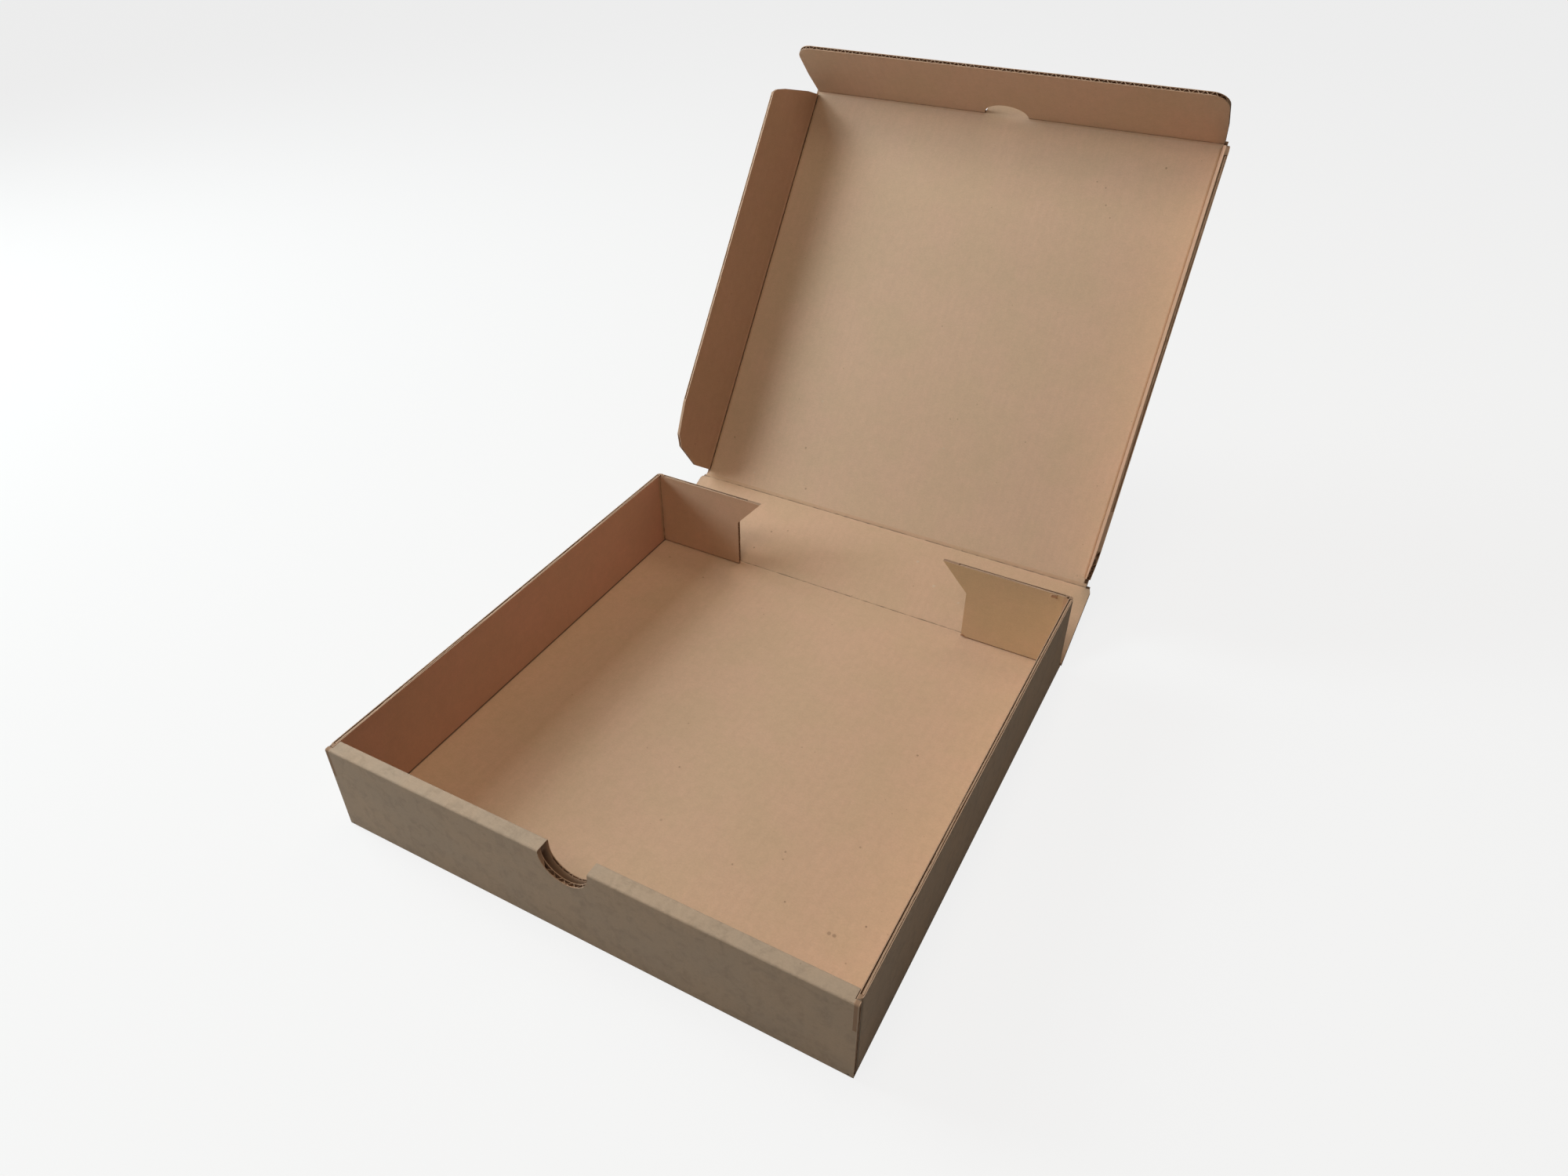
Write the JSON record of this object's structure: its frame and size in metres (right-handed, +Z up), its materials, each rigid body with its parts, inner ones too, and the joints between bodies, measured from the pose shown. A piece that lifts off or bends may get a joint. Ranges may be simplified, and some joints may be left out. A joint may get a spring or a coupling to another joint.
{
  "type": "shipping box",
  "caption": "Shallow square corrugated board shipping box with a hinged lid, rolled double front wall and thumb notch, shown open.",
  "frame": {"origin": "centre of the tray's flat underside, which the box stands on, half way between its front face and its rear fold", "axes": "+Z up, +X to the right seen from the front, +Y from the thumb notch in the front wall towards the lid's hinge"},
  "size_m": [0.3703, 0.6389, 0.3517],
  "materials": {
    "board": "brown kraft liner, matt, faintly washboarded over the flutes"
  },
  "bodies": {
    "tray": {"tray": "board"},
    "back_wall": {"back_wall": "board"},
    "lid": {"lid": "board"},
    "tuck_flap": {"tuck_flap": "board"},
    "lid_right_flap": {"lid_right_flap": "board"},
    "lid_left_flap": {"lid_left_flap": "board"},
    "right_corner_flap": {"right_corner_flap": "board"},
    "left_corner_flap": {"left_corner_flap": "board"}
  },
  "joints": [
    {"name": "back_wall_fold", "type": "hinge", "parent": "tray", "child": "back_wall", "pos_m": [0, 0.17925, 0.0018], "axis": [1, 0, 0], "range_deg": [-23, 67]},
    {"name": "lid_fold", "type": "hinge", "parent": "back_wall", "child": "lid", "pos_m": [0, 0.24415, 0.02935], "axis": [1, 0, 0], "range_deg": [-30.6, 59.4]},
    {"name": "tuck_fold", "type": "hinge", "parent": "lid", "child": "tuck_flap", "pos_m": [0, 0.44988, 0.3084], "axis": [1, 0, 0], "range_deg": [-82, 8]},
    {"name": "right_flap_fold", "type": "hinge", "parent": "lid", "child": "lid_right_flap", "pos_m": [0.1698, 0.24415, 0.02935], "axis": [0, -0.5934, -0.8049], "range_deg": [-80.3, 9.7]},
    {"name": "left_flap_fold", "type": "hinge", "parent": "lid", "child": "lid_left_flap", "pos_m": [-0.1698, 0.24415, 0.02935], "axis": [0, 0.5934, 0.8049], "range_deg": [-65.7, 24.3]},
    {"name": "right_corner_fold", "type": "hinge", "parent": "tray", "child": "right_corner_flap", "pos_m": [0.172, 0.17445, 0.03375], "axis": [0, 0, -1], "range_deg": [-80, 0]},
    {"name": "left_corner_fold", "type": "hinge", "parent": "tray", "child": "left_corner_flap", "pos_m": [-0.172, 0.17445, 0.03375], "axis": [0, 0, 1], "range_deg": [-80, 0]}
  ]
}
